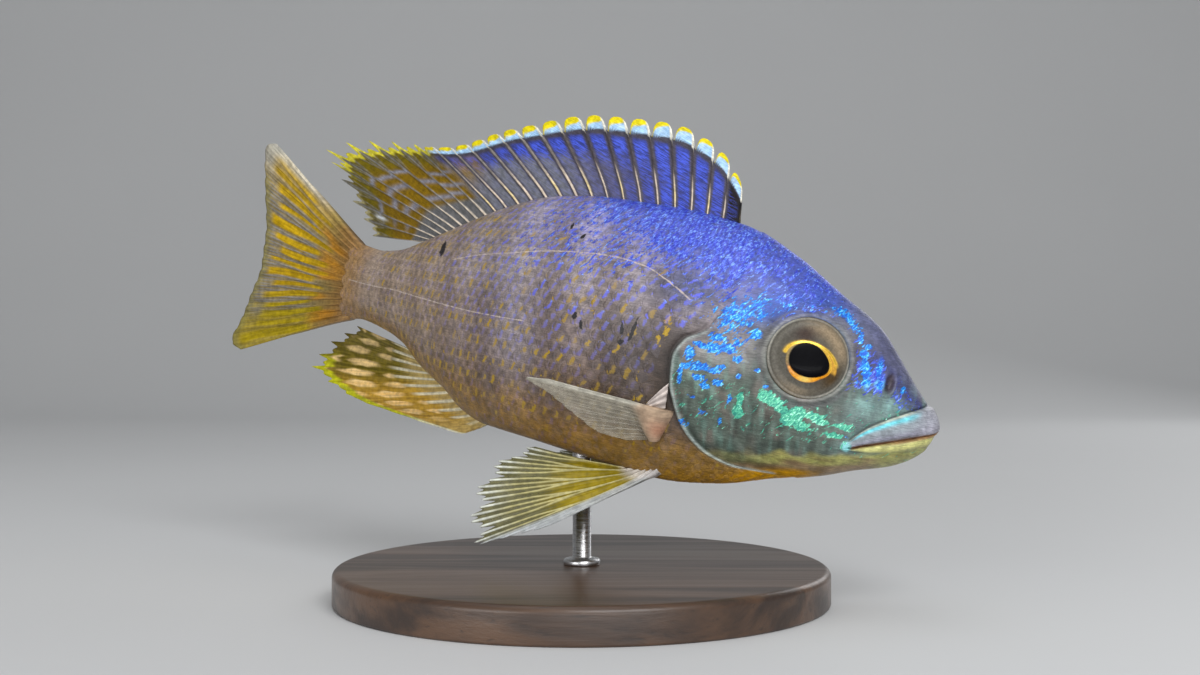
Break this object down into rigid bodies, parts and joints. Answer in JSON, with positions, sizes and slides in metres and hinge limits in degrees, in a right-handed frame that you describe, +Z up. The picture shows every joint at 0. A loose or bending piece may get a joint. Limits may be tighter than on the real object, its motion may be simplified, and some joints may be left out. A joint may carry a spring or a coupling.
{
  "type": "placidochromis cichlid on a display stand",
  "caption": "Life-size still model of a placidochromis cichlid with spread fins and a bent tail, held over a round flat base by a short steel rod.",
  "frame": {"origin": "centre of the base's underside, under the rod's axis", "axes": "+Z up; the head points to +X; the right flank, which the picture shows, faces -Y and the tail bends towards +Y"},
  "size_m": [0.1005, 0.0852, 0.0646],
  "materials": {
    "head_skin": "blue and green head skin with bright cyan flecks, satin gloss",
    "body_skin": "scaled flank, violet blue back over mauve brown with faint bars, satin gloss",
    "tail_skin": "scaled tail stalk, pinkish brown, satin gloss",
    "spiny_fin": "thin blue fin web between pale spines, yellow tips",
    "yellow_fin": "thin amber and yellow fin web between pale rays",
    "clear_fin": "thin clear grey fin web, half see-through",
    "eye": "glossy eye, black pupil in a thin gold ring",
    "stand_wood": "dark stained wood, satin lacquer",
    "stand_steel": "brushed"
  },
  "bodies": {
    "root": {"head": "head_skin", "trunk": "body_skin", "tail_stalk": "tail_skin", "eye_left": "eye", "eye_right": "eye", "dorsal_fin": "spiny_fin", "anal_fin": "yellow_fin", "tail_fin": "yellow_fin", "pectoral_fin_left": "clear_fin", "pectoral_fin_right": "clear_fin", "pelvic_fin_left": "yellow_fin", "pelvic_fin_right": "yellow_fin", "stand_base": "stand_wood", "stand_rod": "stand_steel"}
  },
  "joints": []
}
